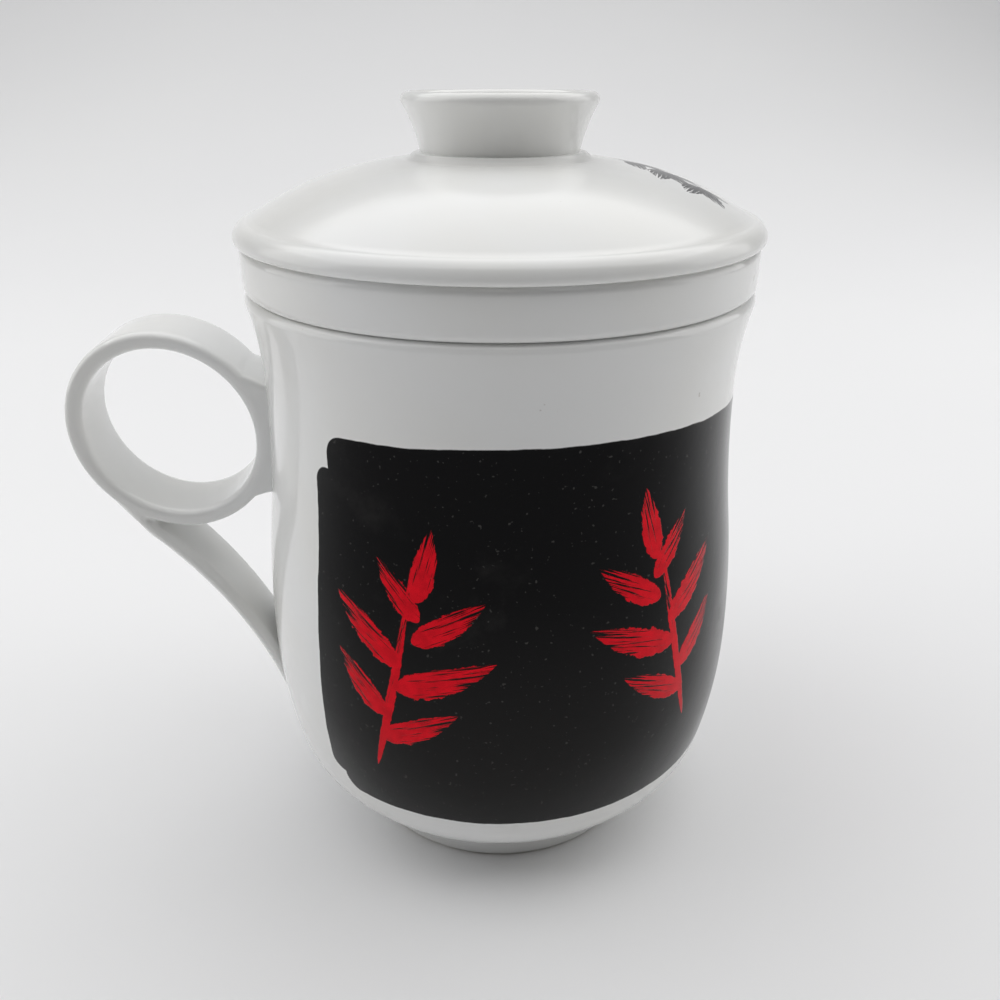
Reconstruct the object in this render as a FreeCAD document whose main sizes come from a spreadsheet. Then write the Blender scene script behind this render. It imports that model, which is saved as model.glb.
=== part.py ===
import FreeCAD, Part
import math
import os
import Sketcher

# Lidded porcelain tea mug with a lift-out infuser, in millimetres.
# +Z is up, the origin is the centre of the foot ring's underside, and the handle is on the -X side.

doc = FreeCAD.newDocument("tea_mug")
sheet = doc.addObject("Spreadsheet::Sheet", "Sizes")

driving_sizes = {
    # Mug wall: a round shoulder, a full belly, a slight waist and a flared rim
    "mug_height": 100.0,
    "belly_radius": 42.3,
    "waist_inset": 3.1,
    "rim_flare": 1.7,
    "belly_level": 0.38,
    "waist_level": 0.85,
    "shoulder_radius": 15.5,
    "side_radius": 85.0,
    "wall": 3.2,
    "lip_round": 1.3,
    # Foot ring and floor
    "foot_inset": 14.5,
    "foot_taper": 0.8,
    "foot_width": 3.6,
    "foot_recess": 4.4,
    "foot_depth": 7.1,
    "foot_round": 0.8,
    # Handle: an oval finger ring with a tail that runs down to the belly
    "strap_width": 13.9,
    "strap_thickness": 2.65,
    "strap_round": 1.1,
    "ring_reach": 12.8,
    "ring_level": 0.7675,
    "ring_tall": 14.6,
    "ring_wide": 13.4,
    "ring_lean": 59.0,
    "root_top": 7.5,
    "root_bottom": 10.6,
    "root_top_turn": 217.0,
    "root_low_turn": 128.0,
    "tail_top_turn": 16.0,
    "tail_join_turn": 48.0,
    "tail_bite": 0.15,
    "tail_blend": 18.5,
    "tail_sweep": 110.0,
    "tail_thickness": 2.4,
    "tail_tip_level": 0.224,
    "tail_foot_thickness": 2.348116,
    # Infuser: a collar that sits on the rim and a perforated cup that hangs in the mug
    "collar_height": 7.2,
    "collar_wall": 3.4,
    "collar_round": 1.3,
    "ledge_thickness": 3.3,
    "cup_clearance": 1.2,
    "cup_wall": 2.8,
    "cup_depth": 60.0,
    "cup_taper": 4.6,
    "cup_corner": 9.0,
    "hole_diameter": 3.0,
    "hole_ring_step": 8.0,
    "floor_rings": 2,
    "holes_per_ring": 6,
    "hole_row_step": 8.0,
    "first_row_lift": 2.4,
    "side_rows": 2,
    "side_holes": 12,
    # Lid: a shallow dome with a rolled lip, a locating flange and a foot-ring knob
    "lid_overhang": 0.7,
    "lip_underside": 0.8,
    "lip_shoulder": 2.4,
    "lid_wall": 3.4,
    "dome_radius": 52.0,
    "crown_rise": 12.3,
    "crown_step": 1.0,
    "crown_fillet": 1.2,
    "flange_clearance": 0.6,
    "flange_width": 3.0,
    "flange_lift": 1.1,
    "knob_radius": 12.4,
    "knob_flare": 2.75,
    "knob_height": 8.5,
    "knob_wall": 2.5,
    "knob_sweep": 24.0,
}


class Size:
    """A length with its value and the sheet expression that gives it."""

    def __init__(self, value, text):
        self.value = value
        self.text = text

    def __add__(self, other):
        other = as_size(other)
        return Size(self.value + other.value, f"({self.text} + {other.text})")

    def __sub__(self, other):
        other = as_size(other)
        return Size(self.value - other.value, f"({self.text} - {other.text})")

    def __mul__(self, other):
        other = as_size(other)
        return Size(self.value * other.value, f"({self.text} * {other.text})")

    def __truediv__(self, other):
        other = as_size(other)
        return Size(self.value / other.value, f"({self.text} / {other.text})")

    def __neg__(self):
        return Size(-self.value, f"(0 - {self.text})")


def as_size(number):
    return number if isinstance(number, Size) else Size(float(number), str(float(number)))


def root(size):
    return Size(math.sqrt(size.value), f"sqrt({size.text})")


def cosine(turn):
    return Size(math.cos(math.radians(turn.value)), f"cos({turn.text} * 1 deg)")


def sine(turn):
    return Size(math.sin(math.radians(turn.value)), f"sin({turn.text} * 1 deg)")


size = {}
for row, (alias, value) in enumerate(driving_sizes.items(), start=1):
    sheet.set(f"A{row}", alias)
    sheet.set(f"B{row}", str(value))
    sheet.setAlias(f"B{row}", alias)
    size[alias] = Size(float(value), f"{sheet.Name}.{alias}")
doc.recompute()


def new_body(label):
    body = doc.addObject("PartDesign::Body", label)
    body.Label = label
    return body


def new_sketch(body, name, role="XZ_Plane"):
    sketch = body.newObject("Sketcher::SketchObject", name)
    plane = [feature for feature in body.Origin.OriginFeatures if feature.Role == role][0]
    sketch.AttachmentSupport = (plane, "")
    sketch.MapMode = "FlatFace"
    return sketch


def bind(sketch, kind, where, length):
    """Adds one dimension and binds it to the sheet."""
    index = sketch.addConstraint(Sketcher.Constraint(kind, *where, length.value))
    sketch.setExpression(f"Constraints[{index}]", length.text)


def place_point(sketch, geometry, point, x, y):
    """Holds one point of the sketch at x and y, on the axis itself where one of them is zero."""
    for kind, axis, value in (("DistanceX", -2, x), ("DistanceY", -1, y)):
        if isinstance(value, Size):
            bind(sketch, kind, (-1, 1, geometry, point), value)
        else:
            sketch.addConstraint(Sketcher.Constraint("PointOnObject", geometry, point, axis))


def plain(value):
    return value.value if isinstance(value, Size) else float(value)


def draw_outline(sketch, corners):
    """Draws a closed outline.

    Each corner is (x, y) for a straight side that ends there, or (x, y, radius, turn) for an arc
    that ends there, with turn +1 for an arc that runs counterclockwise and -1 for the other way.
    """
    ends = []
    for number, corner in enumerate(corners):
        start = FreeCAD.Vector(plain(corners[number - 1][0]), plain(corners[number - 1][1]), 0)
        end = FreeCAD.Vector(plain(corner[0]), plain(corner[1]), 0)
        if len(corner) == 2:
            index = sketch.addGeometry(Part.LineSegment(start, end))
            ends.append((index, 1, 2))
            continue
        radius, turn = corner[2].value, corner[3]
        chord = end - start
        across = FreeCAD.Vector(-chord.y, chord.x, 0).normalize()
        depth = math.sqrt(radius ** 2 - (chord.Length / 2) ** 2)
        centre = (start + end) / 2 + across * depth * turn
        first, last = (start, end) if turn > 0 else (end, start)
        angles = [math.atan2(point.y - centre.y, point.x - centre.x) for point in (first, last)]
        if angles[1] < angles[0]:
            angles[1] += 2 * math.pi
        circle = Part.Circle(centre, FreeCAD.Vector(0, 0, 1), radius)
        index = sketch.addGeometry(Part.ArcOfCircle(circle, *angles))
        ends.append((index, 1, 2) if turn > 0 else (index, 2, 1))
    for number, (index, first, last) in enumerate(ends):
        after, after_first, _ = ends[(number + 1) % len(ends)]
        sketch.addConstraint(Sketcher.Constraint("Coincident", index, last, after, after_first))
    for (index, _, last), corner in zip(ends, corners):
        place_point(sketch, index, last, corner[0], corner[1])
        if len(corner) > 2:
            bind(sketch, "Radius", (index,), corner[2])


def draw_circle(sketch, x, y, radius):
    centre = FreeCAD.Vector(plain(x), plain(y), 0)
    index = sketch.addGeometry(Part.Circle(centre, FreeCAD.Vector(0, 0, 1), radius.value))
    place_point(sketch, index, 3, x, y)
    bind(sketch, "Radius", (index,), radius)


def draw_oval(sketch, x, y, tall, wide, lean):
    """Draws an ellipse whose long half-axis, tall, leans by an angle from the sketch's x axis."""
    centre = FreeCAD.Vector(x.value, y.value, 0)
    angle = math.radians(lean.value)
    along = FreeCAD.Vector(math.cos(angle), math.sin(angle), 0)
    across = FreeCAD.Vector(-along.y, along.x, 0)
    oval = Part.Ellipse(centre + along * tall.value, centre + across * wide.value, centre)
    index = sketch.addGeometry(oval)
    sketch.exposeInternalGeometry(index)
    long_axis, short_axis = index + 1, index + 2
    place_point(sketch, index, 3, x, y)
    bind(sketch, "Distance", (long_axis,), tall * 2)
    bind(sketch, "Distance", (short_axis,), wide * 2)
    slope = sketch.Geometry[long_axis]
    turned = math.atan2(slope.EndPoint.y - slope.StartPoint.y, slope.EndPoint.x - slope.StartPoint.x)
    offset = round(math.degrees(turned - angle))
    bind(sketch, "Angle", (long_axis,), Size(turned, f"({lean.text} + {offset}) * 1 deg"))


def spin(body, kind, name, corners):
    """Turns an outline about the vertical axis, as added or removed clay."""
    sketch = new_sketch(body, f"{name}_outline")
    draw_outline(sketch, corners)
    feature = body.newObject(f"PartDesign::{kind}", name)
    feature.Profile = sketch
    feature.ReferenceAxis = (sketch, ["V_Axis"])
    feature.Angle = 360.0
    doc.recompute()
    return feature


def extrude(body, kind, name, sketch, length):
    """Pads or pockets a sketch evenly to both sides of its plane."""
    feature = body.newObject(f"PartDesign::{kind}", name)
    feature.Profile = sketch
    feature.SideType = "Symmetric"
    feature.setExpression("Length", length.text)
    doc.recompute()
    return feature


def soften(body, name, radius, wanted):
    """Rounds the edges of the body's tip that pass the test."""
    base = body.Tip
    names = [f"Edge{number}" for number, edge in enumerate(base.Shape.Edges, 1) if wanted(edge)]
    feature = body.newObject("PartDesign::Fillet", name)
    feature.Base = (base, names)
    feature.setExpression("Radius", radius.text)
    doc.recompute()
    return feature


# Levels and radii that several pieces share
height = size["mug_height"]
belly = size["belly_radius"]
waist = belly - size["waist_inset"]
rim = waist + size["rim_flare"]
belly_z = height * size["belly_level"]
waist_z = height * size["waist_level"]
lip_z = height - size["lip_round"]


def flank(inset):
    """The mug's flank from the shoulder up to the rim, moved inwards by inset.

    It is a chain of arcs, each tangent to the next, returned as the point where it starts and the
    outline corners that follow.
    """
    shoulder, side = size["shoulder_radius"], size["side_radius"]
    shoulder_z = size["foot_depth"] + shoulder
    side_x = belly - side
    between = side - shoulder
    shoulder_x = side_x + root(between * between - (belly_z - shoulder_z) * (belly_z - shoulder_z))
    side_reach = (side - inset) / between
    side_start = (side_x + (shoulder_x - side_x) * side_reach,
                  belly_z - (belly_z - shoulder_z) * side_reach)
    rise, inwards = waist_z - belly_z, size["waist_inset"]
    swell = (rise * rise + inwards * inwards) / (inwards * 4)
    swell_reach = (swell - inset) / swell
    swell_x = belly - swell
    turn_point = (swell_x + (swell - inwards / 2) * swell_reach, belly_z + rise / 2 * swell_reach)
    climb, outwards = lip_z - waist_z, size["rim_flare"]
    flare = (climb * climb + outwards * outwards) / (outwards * 2)
    flare_x = waist + flare
    rim_reach = root((flare + inset) * (flare + inset) - climb * climb)
    rim_point = (flare_x - rim_reach, lip_z)
    start = (shoulder_x, size["foot_depth"] + inset)
    corners = [
        (*side_start, shoulder - inset, 1),
        (belly - inset, belly_z, side - inset, 1),
        (*turn_point, swell - inset, 1),
        (waist - inset, waist_z, swell + inset, -1),
        (*rim_point, flare + inset, -1),
    ]
    return start, corners


def reversed_chain(start, corners):
    """The same chain of arcs, walked from its end to its start."""
    points = [start] + [corner[:2] for corner in corners]
    chain = []
    for number in range(len(corners) - 1, -1, -1):
        chain.append((*points[number], corners[number][2], -corners[number][3]))
    return points[-1], chain


# Mug body: one thrown shell with its foot ring
mug = new_body("mug_body")
foot = belly - size["foot_inset"]
flank_start, flank_corners = flank(as_size(0.0))
neck = foot + size["foot_taper"]
neck_step = neck - flank_start[0]
neck_drop = root(size["shoulder_radius"] * size["shoulder_radius"] - neck_step * neck_step)
neck_z = size["foot_depth"] + size["shoulder_radius"] - neck_drop
inner_start, inner_corners = flank(size["wall"])
inner_top, inner_chain = reversed_chain(inner_start, inner_corners)
lip_flat = inner_top[0] + size["lip_round"]
spin(mug, "Revolution", "shell", [
    (0, size["foot_recess"]),
    (foot - size["foot_width"], size["foot_recess"]),
    (foot - size["foot_width"], 0),
    (foot, 0),
    (neck, neck_z),
    *flank_corners,
    (rim - size["lip_round"], height, size["lip_round"], 1),
    (lip_flat, height),
    (*inner_top, size["lip_round"], 1),
    *inner_chain,
    (0, size["foot_depth"] + size["wall"]),
])


def on_foot(edge):
    return edge.BoundBox.ZMax < 1e-6 and edge.Curve.TypeId == "Part::GeomCircle"


soften(mug, "foot_edges", size["foot_round"], on_foot)

# Handle: an oval ring of flat strap with a tail, pressed in one and luted to the flank
handle = new_body("handle")
ring_x = -(belly + size["ring_reach"])
ring_z = height * size["ring_level"]
lean = as_size(180) - size["ring_lean"]
strap = size["strap_thickness"]
outer_tall = size["ring_tall"] + strap
outer_wide = size["ring_wide"] + strap


def in_strap(turn, depth):
    """A point in the ring's strap: turned down from -X about the ring's centre, depth below its face."""
    reach = outer_wide - depth
    return ring_x - reach * cosine(turn), ring_z - reach * sine(turn)


ring_sketch = new_sketch(handle, "ring_outline")
draw_oval(ring_sketch, ring_x, ring_z, outer_tall, outer_wide, lean)
extrude(handle, "Pad", "ring", ring_sketch, size["strap_width"])

root_sketch = new_sketch(handle, "root_outline")
inside_wall = -(waist - size["wall"] / 2)
draw_outline(root_sketch, [
    (inside_wall, ring_z + size["root_top"]),
    in_strap(size["root_top_turn"], as_size(0)),
    in_strap(size["root_low_turn"], as_size(0)),
    (inside_wall, ring_z - size["root_bottom"]),
])
extrude(handle, "Pad", "root", root_sketch, size["strap_width"])

tail_sketch = new_sketch(handle, "tail_outline")
tail_foot_x = -(belly - size["wall"] / 2)
tail_tip_z = height * size["tail_tip_level"]
sweep = size["tail_sweep"]
tail_join = in_strap(size["tail_join_turn"], size["tail_bite"])
tail_run = tail_foot_x - tail_join[0]
tail_drop = tail_join[1] - tail_tip_z
tail_chord = root(tail_run * tail_run + tail_drop * tail_drop)
half_turn = tail_chord / (sweep * 2)
foot_slant = tail_run / tail_chord * root(as_size(1) - half_turn * half_turn) - tail_drop / (sweep * 2)
draw_outline(tail_sketch, [
    in_strap(size["tail_top_turn"], size["tail_bite"]),
    (*tail_join, size["tail_blend"], 1),
    (tail_foot_x, tail_tip_z, sweep, -1),
    (tail_foot_x, tail_tip_z + size["tail_foot_thickness"] / foot_slant),
    (*in_strap(size["tail_join_turn"], strap), sweep + size["tail_thickness"], 1),
])
extrude(handle, "Pad", "tail", tail_sketch, size["strap_width"])

hole_sketch = new_sketch(handle, "finger_hole")
draw_oval(hole_sketch, ring_x, ring_z, size["ring_tall"], size["ring_wide"], lean)
extrude(handle, "Pocket", "finger_gap", hole_sketch, size["strap_width"] * 2)


def on_strap_edge(edge):
    half = size["strap_width"].value / 2
    return all(abs(abs(vertex.Y) - half) < 1e-6 for vertex in edge.Vertexes) \
        and edge.BoundBox.YLength < 1e-3


soften(handle, "strap_edges", size["strap_round"], on_strap_edge)
spin(handle, "Groove", "flank_seat", [
    (0, size["foot_depth"]),
    flank_start,
    *flank_corners,
    (0, lip_z),
])

# Infuser: the collar shows between rim and lid, and the perforated cup hangs inside the mug
infuser = new_body("infuser")
collar_top = height + size["collar_height"]
collar_inner = rim - size["collar_wall"]
soft = size["collar_round"]
cup_top = waist - size["wall"] - size["cup_clearance"]
cup_low = cup_top - size["cup_taper"]
cup_bottom = height - size["cup_depth"]
corner = size["cup_corner"]
cup_wall = size["cup_wall"]
ledge_z = height + size["ledge_thickness"]
inner_corner = corner - cup_wall
spin(infuser, "Revolution", "collar_and_cup", [
    (0, cup_bottom),
    (cup_low - corner, cup_bottom),
    (cup_low, cup_bottom + corner, corner, 1),
    (cup_top, height),
    (rim - soft, height),
    (rim, height + soft, soft, 1),
    (rim, collar_top - soft),
    (rim - soft, collar_top, soft, 1),
    (collar_inner, collar_top),
    (collar_inner, ledge_z),
    (cup_top - cup_wall + soft, ledge_z),
    (cup_top - cup_wall, ledge_z - soft, soft, 1),
    (cup_low - cup_wall, cup_bottom + corner),
    (cup_low - corner, cup_bottom + cup_wall, inner_corner, -1),
    (0, cup_bottom + cup_wall),
])

drill_depth = cup_bottom + cup_wall * 2


def drill_ring(name, distance, count):
    """One ring of floor holes: a drilled hole repeated about the vertical axis."""
    sketch = new_sketch(infuser, f"{name}_circle", "XY_Plane")
    draw_circle(sketch, distance, 0, size["hole_diameter"] / 2)
    hole = infuser.newObject("PartDesign::Pocket", name)
    hole.Profile = sketch
    hole.Reversed = True
    hole.setExpression("Length", drill_depth.text)
    repeat_round(hole, name, count)


def repeat_round(hole, name, count):
    doc.recompute()
    if count == 1:
        return
    pattern = infuser.newObject("PartDesign::PolarPattern", f"{name}_pattern")
    pattern.Originals = [hole]
    axis = [feature for feature in infuser.Origin.OriginFeatures if feature.Role == "Z_Axis"][0]
    pattern.Axis = (axis, [""])
    pattern.Angle = 360.0
    pattern.Occurrences = count
    infuser.Tip = pattern
    doc.recompute()


drill_ring("floor_hole_centre", 0, 1)
for ring_number in range(1, driving_sizes["floor_rings"] + 1):
    distance = size["hole_ring_step"] * ring_number
    drill_ring(f"floor_holes_{ring_number}", distance, driving_sizes["holes_per_ring"] * ring_number)

# Side rows: each hole is drilled level through the cup's wall and repeated round it
for row_number in range(driving_sizes["side_rows"]):
    name = f"side_row_{row_number + 1}"
    sketch = new_sketch(infuser, f"{name}_circle")
    row_z = cup_bottom + corner + size["first_row_lift"] + size["hole_row_step"] * row_number
    draw_circle(sketch, 0, row_z, size["hole_diameter"] / 2)
    hole = infuser.newObject("PartDesign::Pocket", name)
    hole.Profile = sketch
    hole.setExpression("Length", cup_top.text)
    repeat_round(hole, name, driving_sizes["side_holes"])

# Lid: a dome whose rolled lip sits on the collar and whose flange drops inside it
lid = new_body("lid")
underside, shoulder = size["lip_underside"], size["lip_shoulder"]
lid_edge = rim + size["lid_overhang"]
crown_z = collar_top + size["crown_rise"]
crown_edge = size["knob_radius"] + size["crown_step"]
dome_edge_z = crown_z - size["crown_step"]
flange_outer = collar_inner - size["flange_clearance"]
flange_inner = flange_outer - size["flange_width"]
flange_z = ledge_z + size["flange_lift"]
under_edge_z = collar_top + size["lid_wall"] / 2
under_top_z = crown_z - size["lid_wall"] - size["crown_step"]
under_rise = under_top_z - under_edge_z
under_radius = (flange_inner * flange_inner + under_rise * under_rise) / (under_rise * 2)
spin(lid, "Revolution", "dome", [
    (0, under_top_z),
    (flange_inner, under_edge_z, under_radius, -1),
    (flange_inner, flange_z),
    (flange_outer, flange_z),
    (flange_outer, collar_top),
    (lid_edge - underside, collar_top),
    (lid_edge, collar_top + underside, underside, 1),
    (lid_edge - shoulder, collar_top + underside + shoulder, shoulder, 1),
    (crown_edge + size["crown_step"], dome_edge_z, size["dome_radius"], 1),
    (crown_edge, crown_z, size["crown_fillet"], -1),
    (0, crown_z),
])


def on_flange(edge):
    return edge.BoundBox.ZMax < flange_z.value + 1e-6 and edge.Curve.TypeId == "Part::GeomCircle"


soften(lid, "flange_edges", size["foot_round"], on_flange)

# Knob: a flared foot ring luted to the crown, which lets the lid stand upside down
knob = new_body("lid_knob")
knob_base = size["knob_radius"]
knob_top = crown_z + size["knob_height"]
knob_rim = knob_base + size["knob_flare"]
knob_wall = size["knob_wall"]
rim_round = knob_wall / 2
knob_sweep = size["knob_sweep"]
spin(knob, "Revolution", "ring", [
    (knob_base - knob_wall, crown_z, knob_sweep, 1),
    (knob_base, crown_z),
    (knob_rim, knob_top - rim_round, knob_sweep, -1),
    (knob_rim - rim_round, knob_top, rim_round, 1),
    (knob_rim - knob_wall, knob_top - rim_round, rim_round, 1),
])

# Every object is sound before anything is written
doc.recompute()
pieces = [mug, handle, infuser, lid, knob]
for item in doc.Objects:
    if {"Invalid", "Error"} & set(item.State):
        raise RuntimeError(f"{item.Label} is {item.State}")
os.makedirs("parts", exist_ok=True)
for piece in pieces:
    shape = piece.Shape
    if shape.isNull() or not shape.isValid() or len(shape.Solids) != 1:
        raise RuntimeError(f"{piece.Label} is not one valid solid")
    shape.exportStep(f"parts/{piece.Label}.step")
    box = shape.BoundBox
    print(f"{piece.Label}: {shape.Volume:.0f} mm3, x {box.XMin:.1f} to {box.XMax:.1f}, "
          f"y {box.YMin:.1f} to {box.YMax:.1f}, z {box.ZMin:.1f} to {box.ZMax:.1f}")
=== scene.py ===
import math

import bmesh
import bpy
from mathutils import Matrix, Vector


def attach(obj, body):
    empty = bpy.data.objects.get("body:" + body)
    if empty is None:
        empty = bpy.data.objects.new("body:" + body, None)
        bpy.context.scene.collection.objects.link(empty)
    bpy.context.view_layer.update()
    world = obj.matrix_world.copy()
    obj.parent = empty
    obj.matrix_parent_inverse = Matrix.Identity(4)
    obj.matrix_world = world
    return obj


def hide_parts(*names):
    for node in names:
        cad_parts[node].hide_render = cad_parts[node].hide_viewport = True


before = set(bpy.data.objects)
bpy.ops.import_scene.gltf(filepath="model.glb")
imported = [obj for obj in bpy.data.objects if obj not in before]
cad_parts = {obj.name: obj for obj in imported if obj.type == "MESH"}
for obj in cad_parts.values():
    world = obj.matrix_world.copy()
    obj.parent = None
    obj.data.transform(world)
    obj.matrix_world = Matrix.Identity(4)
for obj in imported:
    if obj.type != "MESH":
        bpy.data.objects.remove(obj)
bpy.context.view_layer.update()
MM = 0.001

# Camera: close to the mug and a little above the knob, turned so that the handle is at the left
# and a little nearer than the mug's axis.
camera_distance = 149.5 * MM
camera_height = 130.7 * MM
camera_turn = math.radians(-4.915)
camera_pitch = 0.445
camera_data = bpy.data.cameras.new("photo_camera")
camera_data.lens = 32.4
camera_data.sensor_width = 36.0
camera_data.clip_start = 0.005
camera = bpy.data.objects.new("photo_camera", camera_data)
camera.location = (
    camera_distance * math.sin(camera_turn),
    -camera_distance * math.cos(camera_turn),
    camera_height,
)
camera.rotation_euler = (math.pi / 2 - camera_pitch, 0, camera_turn)
bpy.context.collection.objects.link(camera)
bpy.context.scene.camera = camera

# Floor: a seamless pale paper sweep, level under the mug and curving up into the backdrop.
floor_half = 1.8
sweep_start = 0.40
sweep_radius = 1.5
sweep_steps = 24
backdrop_rise = 0.6
floor_bm = bmesh.new()
sweep_profile = [Vector((-floor_half, -floor_half, 0)), Vector((-floor_half, sweep_start, 0))]
for step in range(1, sweep_steps + 1):
    turn = math.pi / 2 * step / sweep_steps
    sweep_profile.append(Vector((
        -floor_half,
        sweep_start + sweep_radius * math.sin(turn),
        sweep_radius * (1 - math.cos(turn)),
    )))
sweep_profile.append(sweep_profile[-1] + Vector((0, 0, backdrop_rise)))
sweep_verts = [floor_bm.verts.new(point) for point in sweep_profile]
sweep_edges = [floor_bm.edges.new(pair) for pair in zip(sweep_verts, sweep_verts[1:])]
widened = bmesh.ops.extrude_edge_only(floor_bm, edges=sweep_edges)
moved = [item for item in widened["geom"] if isinstance(item, bmesh.types.BMVert)]
bmesh.ops.translate(floor_bm, verts=moved, vec=(2 * floor_half, 0, 0))
bmesh.ops.recalc_face_normals(floor_bm, faces=floor_bm.faces)
floor_mesh = bpy.data.meshes.new("paper_sweep")
floor_bm.to_mesh(floor_mesh)
floor_bm.free()
floor_mesh.shade_smooth()
floor = bpy.data.objects.new("paper_sweep", floor_mesh)
bpy.context.collection.objects.link(floor)

paper = bpy.data.materials.new("studio_paper")
paper.use_nodes = True
paper_nodes, paper_links = paper.node_tree.nodes, paper.node_tree.links
paper_shader = paper_nodes["Principled BSDF"]
paper_shader.inputs["Roughness"].default_value = 0.6
paper_shader.inputs["Specular IOR Level"].default_value = 0.25
paper_place = paper_nodes.new("ShaderNodeTexCoord")
paper_grain = paper_nodes.new("ShaderNodeTexNoise")
paper_grain.inputs["Scale"].default_value = 3.0
paper_grain.inputs["Detail"].default_value = 3.0
paper_tone = paper_nodes.new("ShaderNodeMix")
paper_tone.data_type = "RGBA"
paper_tone.inputs["A"].default_value = (0.79, 0.79, 0.80, 1)
paper_tone.inputs["B"].default_value = (0.83, 0.83, 0.83, 1)
paper_links.new(paper_place.outputs["Object"], paper_grain.inputs["Vector"])
paper_links.new(paper_grain.outputs["Fac"], paper_tone.inputs["Factor"])
paper_links.new(paper_tone.outputs["Result"], paper_shader.inputs["Base Color"])
floor_mesh.materials.append(paper)

# Light: a dim white tent with a broad softbox overhead, its middle behind the mug, and a small one
# at each side, so that the side of the mug that faces the camera is the darkest.
bpy.context.scene.view_settings.view_transform = "Standard"
tent = bpy.data.worlds.new("white_tent")
bpy.context.scene.world = tent
tent.use_nodes = True
tent_glow = tent.node_tree.nodes["Background"]
tent_glow.inputs["Color"].default_value = (0.98, 0.98, 1.0, 1)
tent_glow.inputs["Strength"].default_value = 0.045


def soft_lamp(name, place, target, width, depth, power):
    """A rectangular softbox at a place in metres, turned to face its target."""
    lamp_data = bpy.data.lights.new(name, "AREA")
    lamp_data.shape = "RECTANGLE"
    lamp_data.size = width
    lamp_data.size_y = depth
    lamp_data.energy = power
    lamp = bpy.data.objects.new(name, lamp_data)
    lamp.location = place
    lamp.rotation_euler = (Vector(target) - Vector(place)).to_track_quat("-Z", "Y").to_euler()
    bpy.context.collection.objects.link(lamp)


soft_lamp("overhead_softbox", (0, 0.30, 1.05), (0, 0.30, 0), width=2.4, depth=1.7, power=20.0)
for name, side in (("left_softbox", -1), ("right_softbox", 1)):
    soft_lamp(name, (side * 0.80, 0.10, 0.40), (0, 0, 0.06), width=0.7, depth=0.7, power=2.1)

# Mug body: white porcelain, thrown in one shell with a foot ring, a full belly, a slight waist
# and a flared rim that is rounded over. Glazed all over but for the ring that it stands on.
mug_height = 100.0
belly_radius = 42.3
belly_level = 38.0
waist_radius = 39.2
waist_level = 85.0
rim_radius = 40.9
shoulder_radius = 15.5
side_radius = 85.0
wall = 3.2
lip_round = 1.3
foot_radius = 27.8
foot_width = 3.6
foot_recess = 4.4
foot_depth = 7.1
foot_round = 0.9
recess_round = 1.6
rim_round = 1.25


def flank_radius(level):
    """The flank's outside radius at a height: shoulder, side, swell and flare arcs in turn."""
    shoulder_level = foot_depth + shoulder_radius
    side_centre = belly_radius - side_radius
    between = side_radius - shoulder_radius
    shoulder_centre = side_centre + math.sqrt(between ** 2 - (belly_level - shoulder_level) ** 2)
    rise, inwards = waist_level - belly_level, belly_radius - waist_radius
    swell = (rise ** 2 + inwards ** 2) / (4 * inwards)
    climb, outwards = mug_height - lip_round - waist_level, rim_radius - waist_radius
    flare = (climb ** 2 + outwards ** 2) / (2 * outwards)
    if level > waist_level:
        return waist_radius + flare - math.sqrt(flare ** 2 - (level - waist_level) ** 2)
    if level > belly_level + rise / 2:
        return waist_radius + swell - math.sqrt(swell ** 2 - (waist_level - level) ** 2)
    if level > belly_level:
        return belly_radius - swell + math.sqrt(swell ** 2 - (level - belly_level) ** 2)
    if level > belly_level - (belly_level - shoulder_level) * side_radius / between:
        return side_centre + math.sqrt(side_radius ** 2 - (belly_level - level) ** 2)
    return shoulder_centre + math.sqrt(max(shoulder_radius ** 2 - (shoulder_level - level) ** 2, 0))


def flank_points(low, high, inset=0.0, count=56):
    """Points up the flank, closer together round the shoulder, moved inwards by inset."""
    points = []
    for number in range(count + 1):
        share = number / count
        level = low + (high - low) * share ** 1.6
        slope = (flank_radius(level + 0.02) - flank_radius(level - 0.02)) / 0.04
        length = math.hypot(1, slope)
        points.append((flank_radius(level) - inset / length, level + inset * slope / length))
    return points


def rounded(corners, steps=6):
    """An outline in which each corner (x, z, radius) becomes an arc and each (x, z) stays."""
    points = []
    for number, corner in enumerate(corners):
        here = Vector(corner[:2])
        if len(corner) == 2:
            points.append(here)
            continue
        before = Vector(corners[number - 1][:2]) - here
        after = Vector(corners[(number + 1) % len(corners)][:2]) - here
        half_angle = before.angle(after) / 2
        reach = corner[2] / math.tan(half_angle)
        bisector = (before.normalized() + after.normalized()).normalized()
        centre = here + bisector * corner[2] / math.sin(half_angle)
        first = here + before.normalized() * reach - centre
        last = here + after.normalized() * reach - centre
        for step in range(steps + 1):
            spoke = first.lerp(last, step / steps).normalized()
            points.append(centre + spoke * corner[2])
    return points


def spun(name, outline, body, node, steps=192):
    """Turns an outline of (radius, height) in millimetres about the mug's axis into a piece."""
    bm = bmesh.new()
    verts = [bm.verts.new((point[0] * MM, 0, point[1] * MM)) for point in outline]
    edges = [bm.edges.new(pair) for pair in zip(verts, verts[1:])]
    if outline[0][0] > 0:
        edges.append(bm.edges.new((verts[-1], verts[0])))
    bmesh.ops.spin(bm, geom=verts + edges, cent=(0, 0, 0), axis=(0, 0, 1),
                   angle=2 * math.pi, steps=steps, use_merge=True)
    bmesh.ops.remove_doubles(bm, verts=bm.verts, dist=1e-7)
    bmesh.ops.dissolve_degenerate(bm, edges=bm.edges, dist=1e-7)
    bmesh.ops.recalc_face_normals(bm, faces=bm.faces)
    mesh = bpy.data.meshes.new(name)
    bm.to_mesh(mesh)
    bm.free()
    mesh.shade_smooth()
    mesh.set_sharp_from_angle(angle=math.radians(40))
    piece = bpy.data.objects.new(name, mesh)
    bpy.context.collection.objects.link(piece)
    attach(piece, body)
    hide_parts(node)
    return piece


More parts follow.
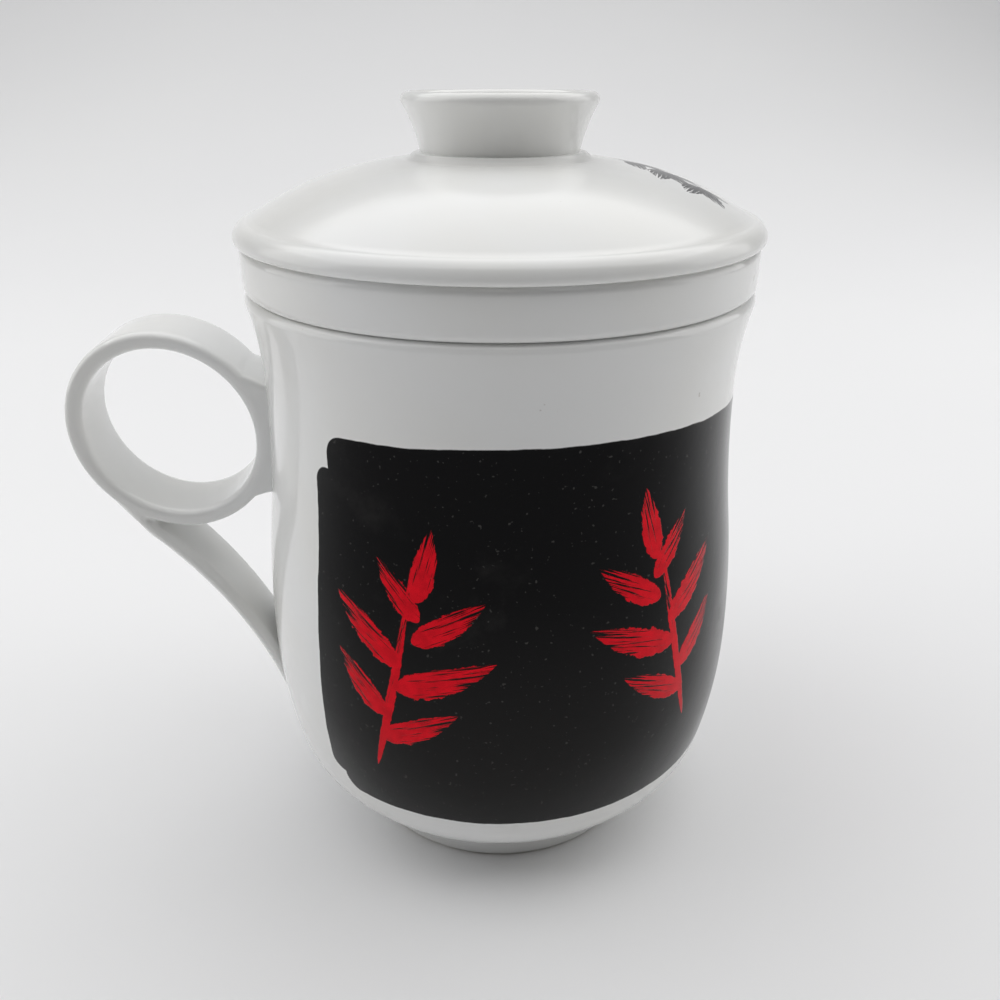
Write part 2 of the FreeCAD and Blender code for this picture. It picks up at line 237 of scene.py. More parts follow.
neck_radius = foot_radius + 0.8
neck_level = foot_depth + 0.37
rim_inner_radius = rim_radius - wall - 0.1
outer_flank = flank_points(neck_level + 0.35, mug_height - lip_round)
inner_flank = flank_points(foot_depth + 0.05, mug_height - lip_round - 0.5, inset=wall)
mug_outline = rounded([
    (0, foot_recess),
    (foot_radius - foot_width, foot_recess, recess_round),
    (foot_radius - foot_width, 0, foot_round),
    (foot_radius, 0, foot_round),
    (neck_radius, neck_level, foot_round),
    *outer_flank,
    (rim_radius, mug_height, rim_round),
    (rim_inner_radius, mug_height, rim_round),
    *reversed(inner_flank),
    (0, foot_depth + wall),
])
mug_shell = spun("mug_shell", mug_outline, "mug", "mug_body")


def new_group(name, inputs, outputs):
    """A shader node group with its inputs as (name, default) and its outputs as (name, kind)."""
    group = bpy.data.node_groups.new(name, "ShaderNodeTree")
    for label, default in inputs:
        kind = "NodeSocketVector" if isinstance(default, tuple) else "NodeSocketFloat"
        socket = group.interface.new_socket(label, in_out="INPUT", socket_type=kind)
        socket.default_value = default
    for label, kind in outputs:
        group.interface.new_socket(label, in_out="OUTPUT", socket_type=kind)
    group.nodes.new("NodeGroupInput")
    group.nodes.new("NodeGroupOutput")
    return group


def worked(tree, operation, *values, kind="ShaderNodeMath"):
    """A math node whose inputs are numbers, vectors or sockets; gives its output socket."""
    node = tree.nodes.new(kind)
    node.operation = operation
    for number, value in enumerate(values):
        if isinstance(value, (int, float, tuple)):
            node.inputs[number].default_value = value
        else:
            tree.links.new(value, node.inputs[number])
    return node.outputs[0]


def noise(tree, vector, scale, detail=2.0, roughness=0.5):
    """A noise field over a vector, about 0.5 in the mean."""
    node = tree.nodes.new("ShaderNodeTexNoise")
    node.inputs["Scale"].default_value = scale
    node.inputs["Detail"].default_value = detail
    node.inputs["Roughness"].default_value = roughness
    tree.links.new(vector, node.inputs["Vector"])
    return node.outputs["Fac"]


def ramp(tree, value, low, high):
    """Rises smoothly from 0 at low to 1 at high."""
    node = tree.nodes.new("ShaderNodeMapRange")
    node.interpolation_type = "SMOOTHSTEP"
    tree.links.new(value, node.inputs["Value"])
    node.inputs["From Min"].default_value = low
    node.inputs["From Max"].default_value = high
    return node.outputs["Result"]


def tinted(tree, share, below, above):
    """Mixes two colours, each a value or a socket, by a share from 0 to 1."""
    node = tree.nodes.new("ShaderNodeMix")
    node.data_type = "RGBA"
    tree.links.new(share, node.inputs["Factor"])
    for label, colour in (("A", below), ("B", above)):
        if isinstance(colour, tuple):
            node.inputs[label].default_value = (*colour, 1)
        else:
            tree.links.new(colour, node.inputs[label])
    return node.outputs["Result"]


# Glaze: a clear glaze on white clay. It has a slow ripple, a fine orange-peel, iron specks, duller
# smears and a warmer tone in the patches where it pools.
glaze = new_group(
    "clear_glaze",
    [("Place", (0.0, 0.0, 0.0)), ("Ripple", 1.0)],
    [("Color", "NodeSocketColor"), ("Roughness", "NodeSocketFloat"), ("Height", "NodeSocketFloat")],
)
glaze_in, glaze_out = glaze.nodes["Group Input"], glaze.nodes["Group Output"]
glaze_place = glaze_in.outputs["Place"]
white_tone, pooled_tone, iron_tone = (0.86, 0.865, 0.86), (0.84, 0.838, 0.815), (0.30, 0.25, 0.20)
pooling = ramp(glaze, noise(glaze, glaze_place, 28.0, 3.0), 0.35, 0.7)
clay_tone = tinted(glaze, pooling, white_tone, pooled_tone)
speck_field = noise(glaze, glaze_place, 900.0, 1.0)
speck_patch = noise(glaze, glaze_place, 120.0, 1.0)
specks = ramp(glaze, worked(glaze, "MULTIPLY", speck_field, speck_patch), 0.545, 0.58)
specks = worked(glaze, "MULTIPLY", specks, 0.35)
speckled = tinted(glaze, specks, clay_tone, iron_tone)
glaze.links.new(speckled, glaze_out.inputs["Color"])
smears = ramp(glaze, noise(glaze, glaze_place, 45.0, 4.0, 0.6), 0.45, 0.8)
glaze.links.new(worked(glaze, "MULTIPLY_ADD", smears, 0.07, 0.07), glaze_out.inputs["Roughness"])
orange_peel = worked(glaze, "MULTIPLY", noise(glaze, glaze_place, 420.0, 2.0), 0.06)
ripples = worked(glaze, "ADD", noise(glaze, glaze_place, 55.0, 1.0), orange_peel)
ripples = worked(glaze, "MULTIPLY", ripples, glaze_in.outputs["Ripple"])
glaze.links.new(ripples, glaze_out.inputs["Height"])


def porcelain(name, ripple=1.0):
    """A glazed porcelain material: gives it with its tree, glaze node, bump node and place."""
    material = bpy.data.materials.new(name)
    material.use_nodes = True
    tree = material.node_tree
    shader = tree.nodes["Principled BSDF"]
    shader.inputs["IOR"].default_value = 1.52
    coordinates = tree.nodes.new("ShaderNodeTexCoord")
    glazed = tree.nodes.new("ShaderNodeGroup")
    glazed.node_tree = glaze
    glazed.inputs["Ripple"].default_value = ripple
    tree.links.new(coordinates.outputs["Object"], glazed.inputs["Place"])
    tree.links.new(glazed.outputs["Color"], shader.inputs["Base Color"])
    tree.links.new(glazed.outputs["Roughness"], shader.inputs["Roughness"])
    bump = tree.nodes.new("ShaderNodeBump")
    bump.inputs["Strength"].default_value = 0.35
    bump.inputs["Distance"].default_value = 0.0006
    tree.links.new(glazed.outputs["Height"], bump.inputs["Height"])
    tree.links.new(bump.outputs["Normal"], shader.inputs["Normal"])
    return material, tree, glazed, bump, coordinates.outputs["Object"]


# Brush leaf: one stroke of a loaded brush, in millimetres on a flat or rolled-out surface. It
# swells from its root, ends in a point and breaks into dry streaks towards the tip.
brush = new_group(
    "brush_leaf",
    [("Place", (0.0, 0.0, 0.0)), ("Root", (0.0, 0.0, 0.0)), ("Turn", 0.0), ("Length", 15.0),
     ("Breadth", 4.0), ("Bend", 0.0), ("Dryness", 0.5)],
    [("Ink", "NodeSocketFloat")],
)
brush_in, brush_out = brush.nodes["Group Input"], brush.nodes["Group Output"]
from_root = worked(brush, "SUBTRACT", brush_in.outputs["Place"], brush_in.outputs["Root"],
                   kind="ShaderNodeVectorMath")
laid = brush.nodes.new("ShaderNodeVectorRotate")
laid.rotation_type = "Z_AXIS"
brush.links.new(from_root, laid.inputs["Vector"])
brush.links.new(worked(brush, "MULTIPLY", brush_in.outputs["Turn"], -1.0), laid.inputs["Angle"])
stroke = brush.nodes.new("ShaderNodeSeparateXYZ")
brush.links.new(laid.outputs["Vector"], stroke.inputs["Vector"])
share = worked(brush, "DIVIDE", stroke.outputs["X"], brush_in.outputs["Length"])
share = worked(brush, "MINIMUM", worked(brush, "MAXIMUM", share, 0.0), 1.0)
sag = worked(brush, "MULTIPLY", worked(brush, "MULTIPLY", share, share), brush_in.outputs["Bend"])
beside = worked(brush, "SUBTRACT", stroke.outputs["Y"], sag)
swelling = worked(brush, "POWER", share, 0.55)
tapering = worked(brush, "POWER", worked(brush, "SUBTRACT", 1.0, share), 0.9)
half_breadth = worked(brush, "MULTIPLY", swelling, tapering)

# This factor makes the leaf as broad as its breadth says where it is broadest
to_half_breadth = 1.31
half_breadth = worked(brush, "MULTIPLY", half_breadth, to_half_breadth)
half_breadth = worked(brush, "MULTIPLY", half_breadth, brush_in.outputs["Breadth"])
shaky = worked(brush, "MULTIPLY_ADD", noise(brush, from_root, 0.9, 3.0, 0.6), 0.7, 0.62)
half_breadth = worked(brush, "MULTIPLY", half_breadth, shaky)
inside = worked(brush, "SUBTRACT", half_breadth, worked(brush, "ABSOLUTE", beside))

# The bristles' dry streaks are long along the stroke and fine across it
bristle_comb = (0.10, 2.6, 1.0)
combed = worked(brush, "MULTIPLY", laid.outputs["Vector"], bristle_comb, kind="ShaderNodeVectorMath")
hairs = noise(brush, combed, 1.0, 3.0, 0.65)
dryness = worked(brush, "MULTIPLY_ADD", share, 0.26, hairs)
dryness = worked(brush, "MULTIPLY_ADD", brush_in.outputs["Dryness"], 0.12, dryness)
wetted = worked(brush, "SUBTRACT", 1.0, ramp(brush, dryness, 0.71, 0.77))
ink = worked(brush, "MULTIPLY", ramp(brush, inside, 0.0, 0.14), wetted)
brush.links.new(ink, brush_out.inputs["Ink"])


def painted(tree, place, strokes):
    """Lays brush leaves, each (x, y, degrees, length, breadth, bend, dryness), and gives the ink."""
    ink = None
    for x, y, turn, length, breadth, bend, dryness in strokes:
        leaf = tree.nodes.new("ShaderNodeGroup")
        leaf.node_tree = brush
        tree.links.new(place, leaf.inputs["Place"])
        leaf.inputs["Root"].default_value = (x, y, 0)
        leaf.inputs["Turn"].default_value = math.radians(turn)
        leaf.inputs["Length"].default_value = length
        leaf.inputs["Breadth"].default_value = breadth
        leaf.inputs["Bend"].default_value = bend
        leaf.inputs["Dryness"].default_value = dryness
        ink = leaf.outputs["Ink"] if ink is None else worked(tree, "MAXIMUM", ink, leaf.outputs["Ink"])
    return ink


# Mug finish: clear glaze, a black satin panel fired over it round all but the handle's side, and
# red brush leaves on the panel. The ring that the mug stands on is bare, slightly rough clay, and
# the inside of the wall has the glaze alone.
mug_porcelain, mug_tree, mug_glaze, mug_bump, mug_place = porcelain("mug_porcelain")
mug_shell.data.materials.append(mug_porcelain)
mug_shell.data.materials.append(porcelain("mug_inside_porcelain")[0])
for face in mug_shell.data.polygons:
    level = face.center.z / MM
    if neck_level < level < mug_height - lip_round:
        if face.center.xy.length / MM < flank_radius(level) - wall / 2:
            face.material_index = 1

# The flank rolled out flat, in millimetres: the way round from the side opposite the handle, and
# the height
rolled_radius = 42.0
mug_mm = mug_tree.nodes.new("ShaderNodeSeparateXYZ")
mug_tree.links.new(worked(mug_tree, "MULTIPLY", mug_place, (1 / MM, 1 / MM, 1 / MM),
                          kind="ShaderNodeVectorMath"), mug_mm.inputs["Vector"])
mug_x, mug_y, mug_z = mug_mm.outputs
mug_along = worked(mug_tree, "MULTIPLY", worked(mug_tree, "ARCTAN2", mug_y, mug_x), rolled_radius)
mug_rolled = mug_tree.nodes.new("ShaderNodeCombineXYZ")
mug_tree.links.new(mug_along, mug_rolled.inputs["X"])
mug_tree.links.new(mug_z, mug_rolled.inputs["Y"])
mug_rolled = mug_rolled.outputs["Vector"]


def patch_distance(tree, along, up, half_along, low, high, corner):
    """How far a point is outside a rounded rectangle; negative inside it."""
    beside = worked(tree, "SUBTRACT", worked(tree, "ABSOLUTE", along), half_along - corner)
    from_middle = worked(tree, "ABSOLUTE", worked(tree, "SUBTRACT", up, (low + high) / 2))
    above = worked(tree, "SUBTRACT", from_middle, (high - low) / 2 - corner)
    past = [worked(tree, "MAXIMUM", side, 0.0) for side in (beside, above)]
    squares = [worked(tree, "POWER", side, 2.0) for side in past]
    return worked(tree, "SUBTRACT", worked(tree, "SQRT", worked(tree, "ADD", *squares)), corner)


# The panel: a wide patch and a taller, narrower one, which leave stepped corners. Its top edge is
# not quite level, and all its edges waver a little.
wide_half, wide_low, wide_high, wide_corner = 101.2, 24.0, 79.0, 2.5
tall_half, tall_low, tall_high, tall_corner = 98.3, 20.5, 84.4, 3.0
wide_patch = patch_distance(mug_tree, mug_along, mug_z, wide_half, wide_low, wide_high, wide_corner)
swing_rate, swing_start = 0.05, 4.7
swing_still, swing_full = 40.0, 80.0
swing = worked(mug_tree, "MULTIPLY_ADD", mug_along, swing_rate, swing_start)
swing = worked(mug_tree, "SINE", swing)
swing = worked(mug_tree, "MULTIPLY", swing, ramp(mug_tree, mug_z, swing_still, swing_full))
swung_z = worked(mug_tree, "SUBTRACT", mug_z, swing)
tall_patch = patch_distance(mug_tree, mug_along, swung_z, tall_half, tall_low, tall_high, tall_corner)
edge_softness = 0.09
panel_edge = worked(mug_tree, "MINIMUM", wide_patch, tall_patch)
wobble = worked(mug_tree, "MULTIPLY_ADD", noise(mug_tree, mug_rolled, 0.16, 3.0), 0.6, -0.3)
panel_edge = worked(mug_tree, "ADD", panel_edge, wobble)
panel_inside = worked(mug_tree, "MULTIPLY", panel_edge, -1.0)
panel = ramp(mug_tree, panel_inside, -edge_softness, edge_softness)

# The sprigs: five, each in its own stretch of the panel, by turns high and low and mirrored. Each
# lies at its own depth in the noise, so that its dry streaks differ.
sprig_step = 42.0
sprig_level = 50.0
sprig_lift = 4.0
sprig_depth = 37.0
sprig_number = worked(mug_tree, "ROUND", worked(mug_tree, "DIVIDE", mug_along, sprig_step))
sprig_side = worked(mug_tree, "PINGPONG", sprig_number, 1.0)
sprig_flip = worked(mug_tree, "MULTIPLY_ADD", sprig_side, -2.0, 1.0)
sprig_middle = worked(mug_tree, "MULTIPLY", sprig_number, sprig_step)
sprig_x = worked(mug_tree, "SUBTRACT", mug_along, sprig_middle)
sprig_x = worked(mug_tree, "MULTIPLY", sprig_x, sprig_flip)
sprig_base = worked(mug_tree, "MULTIPLY_ADD", sprig_side, sprig_lift, sprig_level)
sprig_y = worked(mug_tree, "SUBTRACT", mug_z, sprig_base)
sprig_place = mug_tree.nodes.new("ShaderNodeCombineXYZ")
mug_tree.links.new(sprig_x, sprig_place.inputs["X"])
mug_tree.links.new(sprig_y, sprig_place.inputs["Y"])
mug_tree.links.new(worked(mug_tree, "MULTIPLY", sprig_number, sprig_depth), sprig_place.inputs["Z"])
sprig_strokes = [(-6.0, -20.0, 75, 38.0, 1.7, 3.0, 0.0), (1.6, 11.5, 74, 12.0, 4.2, 0.8, 0.2)]
for root_x, root_y, turn, length, breadth, bend in (
    (-4.6, -13.5, 22, 14.5, 4.4, 1.6),
    (-3.4, -9.0, 138, 13.0, 4.2, -1.4),
    (-1.9, -3.5, 14, 17.0, 5.0, 2.2),
    (-0.7, 0.5, 146, 15.5, 4.6, -1.8),
    (1.0, 5.0, 26, 13.5, 4.4, 1.6),
    (2.2, 8.5, 134, 11.5, 3.8, -1.2),
):
    sprig_strokes.append((root_x, root_y, turn, length, breadth, bend, 0.35))
sprigs = painted(mug_tree, sprig_place.outputs["Vector"], sprig_strokes)
sprigs = worked(mug_tree, "MULTIPLY", sprigs, panel)

# Colours: the panel is painted greyer low down as a painted reflection of the bright floor, it is
# dusty and rubbed in places, and the red is in two tones
rubbed = ramp(mug_tree, noise(mug_tree, mug_place, 70.0, 5.0, 0.65), 0.52, 0.80)
dusty = ramp(mug_tree, noise(mug_tree, mug_place, 1400.0, 1.0), 0.70, 0.76)
dusty = worked(mug_tree, "MULTIPLY", dusty, 0.10)
mug_depth = worked(mug_tree, "MULTIPLY", mug_z, -1.0)
# Painted reflection: the black is lightened towards the bottom to stand for the bright floor it
# reflects, then joined with the rubbed patches
rubbed_and_floor_sheen = worked(mug_tree, "MULTIPLY", ramp(mug_tree, mug_depth, -72.0, -28.0), 0.7)
rubbed_and_floor_sheen = worked(mug_tree, "MAXIMUM", rubbed_and_floor_sheen, rubbed)
fired_black, rubbed_and_sheen_black, dust = (0.0025, 0.0025, 0.0028), (0.015, 0.0145, 0.0140), (0.35, 0.34, 0.32)
bright_red, deep_red = (0.66, 0.003, 0.013), (0.50, 0.002, 0.010)
bare_clay = (0.74, 0.70, 0.62)
# The lighter black goes on the rubbed patches and on the painted floor reflection low down
panel_tone = tinted(mug_tree, rubbed_and_floor_sheen, fired_black, rubbed_and_sheen_black)
panel_tone = tinted(mug_tree, dusty, panel_tone, dust)
thinned = ramp(mug_tree, noise(mug_tree, mug_rolled, 0.45, 4.0, 0.6), 0.35, 0.7)
red_tone = tinted(mug_tree, thinned, bright_red, deep_red)
mug_tone = tinted(mug_tree, panel, mug_glaze.outputs["Color"], panel_tone)
mug_tone = tinted(mug_tree, sprigs, mug_tone, red_tone)
foot_bare = ramp(mug_tree, mug_depth, -0.55, -0.35)
mug_tone = tinted(mug_tree, foot_bare, mug_tone, bare_clay)
mug_shader = mug_tree.nodes["Principled BSDF"]
mug_tree.links.new(mug_tone, mug_shader.inputs["Base Color"])

# Gloss: the panel is a satin, metallic black, the bare clay is dull, and print stands a little proud
satin = worked(mug_tree, "MULTIPLY_ADD", rubbed, 0.10, 0.20)
satin = worked(mug_tree, "MULTIPLY", worked(mug_tree, "SUBTRACT", satin, 0.08), panel)
gloss = worked(mug_tree, "ADD", mug_glaze.outputs["Roughness"], satin)
gloss = worked(mug_tree, "MAXIMUM", gloss, worked(mug_tree, "MULTIPLY", foot_bare, 0.85))
mug_tree.links.new(gloss, mug_shader.inputs["Roughness"])
mug_tree.links.new(worked(mug_tree, "MULTIPLY", panel, 0.85), mug_shader.inputs["Metallic"])
print_step = worked(mug_tree, "MULTIPLY", worked(mug_tree, "ADD", panel, sprigs), 0.10)
mug_relief = worked(mug_tree, "ADD", mug_glaze.outputs["Height"], print_step)
mug_tree.links.new(mug_relief, mug_bump.inputs["Height"])

# Handle: an oval finger ring of flat strap with a tail, pressed from the same clay in one piece
# and luted to the flank with slip, which leaves a soft fillet all round.
strap_width = 13.9
strap_thickness = 2.75
strap_round = 1.1
ring_centre = Vector((-55.1, 0, 76.75))
ring_tall = 14.55
ring_wide = 13.35
ring_lean = math.radians(59.0)
tail_thickness = 2.5
handle_bm = bmesh.new()


def arc_centre(start, end, radius):
    """The centre of an arc that bulges to the right of the way from start to end."""
    chord = Vector(end) - Vector(start)
    across = Vector((-chord.y, chord.x)).normalized()
    middle = (Vector(start) + Vector(end)) / 2
    return middle + across * math.sqrt(radius ** 2 - (chord.length / 2) ** 2)


def bulge(start, end, radius, count=24):
    """Points of an arc from start to end that bulges to the right of the way it runs."""
    centre = arc_centre(start, end, radius)
    points = []
    for number in range(count + 1):
        spoke = Vector(start).lerp(Vector(end), number / count) - centre
        points.append(tuple(centre + spoke.normalized() * radius))
    return points


# The ring: the strap's rounded section turned about the ring's own axis, then drawn into an oval
ring_even = (ring_tall + ring_wide) / 2
section = bmesh.ops.create_grid(handle_bm, x_segments=1, y_segments=1, size=0.5)["verts"]
bmesh.ops.scale(handle_bm, vec=(strap_thickness, strap_width, 1), verts=section)
bmesh.ops.bevel(handle_bm, geom=section, offset=strap_round, offset_type="OFFSET",
                segments=5, profile=0.5, affect="VERTICES", material=-1)
bmesh.ops.translate(handle_bm, verts=handle_bm.verts, vec=(ring_even + strap_thickness / 2, 0, 0))
bmesh.ops.delete(handle_bm, geom=handle_bm.faces[:], context="FACES_ONLY")
bmesh.ops.spin(handle_bm, geom=handle_bm.verts[:] + handle_bm.edges[:], cent=(0, 0, 0),
               axis=(0, 1, 0), angle=2 * math.pi, steps=96, use_merge=True)
lean = Matrix.Rotation(ring_lean, 4, "Y")
bmesh.ops.scale(handle_bm, vec=(ring_tall / ring_even, 1, ring_wide / ring_even),
                space=lean.inverted(), verts=handle_bm.verts)
bmesh.ops.translate(handle_bm, verts=handle_bm.verts, vec=ring_centre)


def add_slab(bm, outline, width):
    """Adds a closed slab: an outline of (reach from the mug's axis, height), width mm thick."""
    verts = [bm.verts.new((-reach, -width / 2, level)) for reach, level in outline]
    face = bm.faces.new(verts)
    grown = bmesh.ops.extrude_face_region(bm, geom=[face], use_keep_orig=True)["geom"]
    far_side = [item for item in grown if isinstance(item, bmesh.types.BMVert)]
    bmesh.ops.translate(bm, verts=far_side, vec=(0, width, 0))


# The tail: it leaves the ring's outer side straight on, crosses under it and bends down to the
# belly. A thin wide slab inside a narrower one gives it round edges.
tail_radius = 80.0
tail_edge = 0.65
tail_flat_width = strap_width - 2.2
tail_full_width = strap_width - 0.3
tail_start = (68.4, 69.2)
tail_side = (65.9, 64.2)
tail_bend = (61.6, 58.2)
tail_foot = (40.9, 22.4)
tail_crotch = (64.4, 64.9)
tail_middle = arc_centre(tail_bend, tail_foot, tail_radius)


def tail_line(depth):
    """The tail's side view from the bend to the foot, at a depth in mm under its outer face."""
    spokes = [Vector(point) - tail_middle for point in bulge(tail_bend, tail_foot, tail_radius)]
    return [tuple(tail_middle + spoke.normalized() * (tail_radius + depth)) for spoke in spokes]


for skin, width in ((0.0, tail_flat_width), (tail_edge, tail_full_width)):
    slanted = 0.7 * skin
    tail_outer = [tail_start, (tail_side[0] - slanted, tail_side[1] + slanted), *tail_line(skin)]
    tail_inner = [*reversed(tail_line(tail_thickness - skin)), tail_crotch]
    add_slab(handle_bm, tail_outer + tail_inner, width)

# The root: the clay between the ring and the flank, and a thin seat hidden inside the wall that
# the slip fillets run out on
root_width = strap_width - 0.4
root_outline = [(38.0, 84.3), (42.0, 86.3), (40.5, 82.0), (39.9, 77.0), (40.6, 71.5),
                (45.4, 64.1), (38.0, 66.1)]
add_slab(handle_bm, root_outline, root_width)
seat_low, seat_high = 20.0, 93.0
seat_front, seat_back = 0.55, 1.8
seat_half_turn = math.radians(17)
seat_outer = flank_points(seat_low, seat_high, inset=seat_front, count=20)
seat_inner = flank_points(seat_low, seat_high, inset=seat_back, count=20)
seat_verts = [handle_bm.verts.new((-radius, 0, level))
              for radius, level in seat_outer + seat_inner[::-1]]
seat_face = handle_bm.faces.new(seat_verts)
bmesh.ops.rotate(handle_bm, cent=(0, 0, 0), verts=seat_verts,
                 matrix=Matrix.Rotation(-seat_half_turn, 3, "Z"))
bmesh.ops.spin(handle_bm, geom=[seat_face], cent=(0, 0, 0), axis=(0, 0, 1),
               angle=2 * seat_half_turn, steps=16)
bmesh.ops.recalc_face_normals(handle_bm, faces=handle_bm.faces)
bmesh.ops.scale(handle_bm, vec=(MM, MM, MM), verts=handle_bm.verts)

# All of it made one skin, then sponged smooth
clay_mesh = bpy.data.meshes.new("handle_clay")
handle_bm.to_mesh(clay_mesh)
handle_bm.free()
clay = bpy.data.objects.new("handle_clay", clay_mesh)
bpy.context.collection.objects.link(clay)
joined = clay.modifiers.new("joined", "REMESH")
joined.mode = "VOXEL"
joined.voxel_size = 0.36 * MM
sponged = clay.modifiers.new("sponged", "SMOOTH")
sponged.factor = 0.5
sponged.iterations = 12
finished = clay.evaluated_get(bpy.context.evaluated_depsgraph_get())
handle_mesh = bpy.data.meshes.new_from_object(finished)
bpy.data.objects.remove(clay)
handle_mesh.name = "handle_strap"
handle_piece = bpy.data.objects.new("handle_strap", handle_mesh)
bpy.context.collection.objects.link(handle_piece)
handle_mesh.shade_smooth()
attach(handle_piece, "mug")
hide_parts("handle")
handle_mesh.materials.append(porcelain("handle_porcelain")[0])

# Infuser: white porcelain, with a collar that sits on the mug's rim and shows as a plain band,
# and a tapered cup with holes punched in its floor and lower wall for the tea.
collar_top = 107.2
collar_wall = 3.4
ledge_level = 103.3
cup_top_radius = 34.8
cup_low_radius = 30.2
cup_bottom = 40.0
cup_wall = 2.8
cup_corner = 9.0
collar_round = 1.3
infuser_outline = rounded([
    (0, cup_bottom),
    (cup_low_radius, cup_bottom, cup_corner),
    (cup_top_radius, mug_height, 0.5),
    (rim_radius, mug_height, collar_round),
    (rim_radius, collar_top, collar_round),
    (rim_radius - collar_wall, collar_top, 0.8),
    (rim_radius - collar_wall, ledge_level, 0.6),
    (cup_top_radius - cup_wall, ledge_level, collar_round),
    (cup_low_radius - cup_wall, cup_bottom + cup_wall, cup_corner - cup_wall),
    (0, cup_bottom + cup_wall),
])
infuser_piece = spun("infuser_cup", infuser_outline, "infuser_body", "infuser")
infuser_piece.data.materials.append(porcelain("infuser_porcelain", ripple=0.6)[0])

# The holes: one in the middle of the floor, rings of six and twelve round it, and two rows of
# twelve in the wall
hole_radius = 1.5
floor_rings = ((1, 0.0), (6, 8.0), (12, 16.0))
side_levels = (51.4, 59.4)
side_holes = 12
side_reach = 30.0
punch_bm = bmesh.new()


def punch(bm, place, depth):
    """Adds one straight punch of the holes' radius."""
    bmesh.ops.create_cone(bm, cap_ends=True, segments=28, radius1=hole_radius,
                          radius2=hole_radius, depth=depth, matrix=place)


for count, reach in floor_rings:
    for number in range(count):
        turn = 2 * math.pi * number / count
        middle = (reach * math.cos(turn), reach * math.sin(turn), cup_bottom + 1.0)
        punch(punch_bm, Matrix.Translation(middle), depth=8.0)
for level in side_levels:
    for number in range(side_holes):
        turned = Matrix.Rotation(2 * math.pi * number / side_holes - math.pi / 2, 4, "Z")
        level_up = Matrix.Translation((side_reach, 0, level))
        laid_flat = Matrix.Rotation(math.pi / 2, 4, "Y")
        punch(punch_bm, turned @ level_up @ laid_flat, depth=12.0)
bmesh.ops.scale(punch_bm, vec=(MM, MM, MM), verts=punch_bm.verts)
punch_mesh = bpy.data.meshes.new("hole_punches")
punch_bm.to_mesh(punch_mesh)
punch_bm.free()
punches = bpy.data.objects.new("hole_punches", punch_mesh)
bpy.context.collection.objects.link(punches)
punched = infuser_piece.modifiers.new("punched", "BOOLEAN")
punched.operation = "DIFFERENCE"
punched.solver = "EXACT"
punched.object = punches
holed = bpy.data.meshes.new_from_object(
    infuser_piece.evaluated_get(bpy.context.evaluated_depsgraph_get()))
infuser_piece.modifiers.clear()
infuser_piece.data = holed
bpy.data.objects.remove(punches)
holed.shade_smooth()
holed.set_sharp_from_angle(angle=math.radians(40))

# Lid: a shallow porcelain dome with a soft rolled lip, and a flange below that drops inside the
# collar and keeps the lid in place.
lid_radius = 41.6
lip_underside = 0.8
lip_shoulder = 2.4
crown_level = 119.5
dome_radius = 52.0
flange_outer = 36.9
flange_inner = 33.9
flange_level = 104.4
flange_round = 0.8
hollow_radius = 95.8
lip_level = collar_top + lip_underside
shoulder_point = (lid_radius - lip_shoulder, lip_level + lip_shoulder)
dome_top = (14.6, crown_level - 0.95)
hollow_foot = (flange_inner, collar_top + 1.7)
hollow_top = (0, crown_level - 4.4)
lid_outline = rounded([
    *reversed(bulge(hollow_foot, hollow_top, hollow_radius)),
    (flange_inner, flange_level, flange_round),
    (flange_outer, flange_level, flange_round),
    (flange_outer, collar_top, 0.4),
    *bulge((lid_radius - lip_underside, collar_top), (lid_radius, lip_level), lip_underside, 6),
    *bulge((lid_radius, lip_level), shoulder_point, lip_shoulder, 8)[1:],
    *bulge(shoulder_point, dome_top, dome_radius)[1:],
    (13.4, crown_level, 0.8),
    (0, crown_level),
])
lid_piece = spun("lid_dome", lid_outline, "lid_body", "lid")

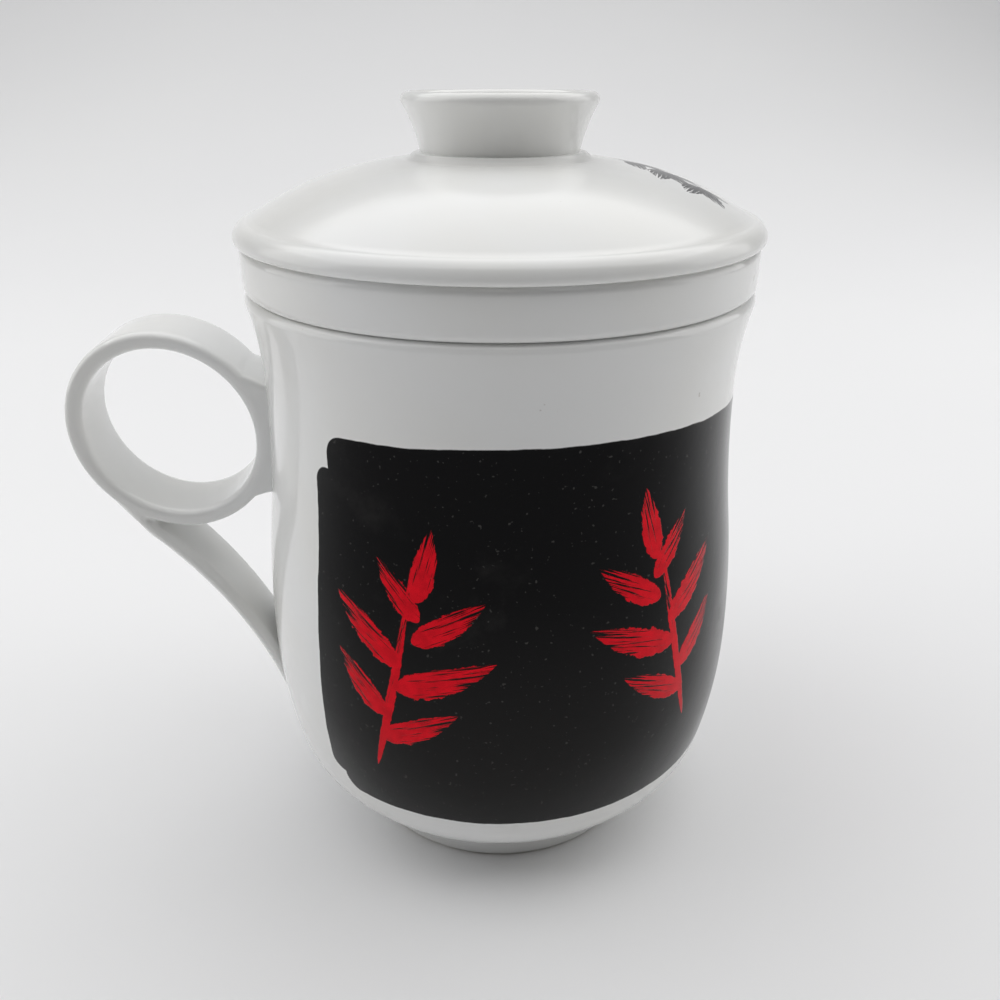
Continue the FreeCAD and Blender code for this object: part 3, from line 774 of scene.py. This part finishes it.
# Lid finish: clear glaze, a little duller on top, and a small sprig of leaves in dark grey ink on
# the dome. The underside has the glaze alone.
lid_porcelain, lid_tree, lid_glaze, _, lid_place = porcelain("lid_porcelain")
lid_piece.data.materials.append(lid_porcelain)
lid_piece.data.materials.append(porcelain("lid_underside_porcelain")[0])
for face in lid_piece.data.polygons:
    if face.normal.z < 0:
        face.material_index = 1
lid_mm = worked(lid_tree, "MULTIPLY", lid_place, (1 / MM, 1 / MM, 0.0), kind="ShaderNodeVectorMath")
ink_strokes = [(18.0, 1.2, -42, 19.5, 2.0, 0.8, 0.1)]
for root_x, root_y, fan in (
    (20.5, -1.2, ((-92, 8.0, 3.4, 0.5), (-8, 7.0, 3.0, -0.4))),
    (24.5, -4.8, ((-108, 9.0, 3.8, 0.5), (-74, 9.5, 3.6, 0.4), (-12, 7.0, 3.0, -0.4))),
    (29.0, -9.2, ((-118, 8.0, 3.6, 0.4), (-76, 8.0, 3.4, 0.3), (-28, 5.5, 2.6, -0.3))),
):
    for turn, length, breadth, bend in fan:
        ink_strokes.append((root_x, root_y, turn, length, breadth, bend, 0.3))
lid_ink = painted(lid_tree, lid_mm, ink_strokes)
upward = lid_tree.nodes.new("ShaderNodeSeparateXYZ")
lid_tree.links.new(lid_place, upward.inputs["Vector"])
above_lip = ramp(lid_tree, upward.outputs["Z"], (lip_level + 0.5) * MM, (lip_level + 1.0) * MM)
lid_ink = worked(lid_tree, "MULTIPLY", lid_ink, above_lip)
grey_ink = (0.045, 0.045, 0.05)
lid_tone = tinted(lid_tree, lid_ink, lid_glaze.outputs["Color"], grey_ink)
lid_dull = worked(lid_tree, "ADD", lid_glaze.outputs["Roughness"], 0.12)
lid_shader = lid_tree.nodes["Principled BSDF"]
lid_tree.links.new(lid_tone, lid_shader.inputs["Base Color"])
lid_tree.links.new(lid_dull, lid_shader.inputs["Roughness"])

# Knob: a flared, hollow foot ring of the same porcelain, luted to the crown, on which the lid
# stands when it is turned over. Its glaze has the strongest ripple.
knob_radius = 12.4
knob_rim = 15.15
knob_top = 128.0
knob_wall = 2.5
knob_sweep = 24.0
knob_round = knob_wall / 2
rim_outer = (knob_rim, knob_top - knob_round)
rim_crest = (knob_rim - knob_round, knob_top)
rim_inner = (knob_rim - knob_wall, knob_top - knob_round)
knob_outline = [
    *reversed(bulge(rim_outer, (knob_radius, crown_level), knob_sweep, 12)),
    *bulge(rim_outer, rim_crest, knob_round, 6)[1:],
    *bulge(rim_crest, rim_inner, knob_round, 6)[1:],
    *bulge(rim_inner, (knob_radius - knob_wall, crown_level), knob_sweep, 12)[1:],
]
knob_piece = spun("lid_knob_ring", knob_outline, "lid_body", "lid_knob")
knob_piece.data.materials.append(porcelain("knob_porcelain", ripple=2.5)[0])
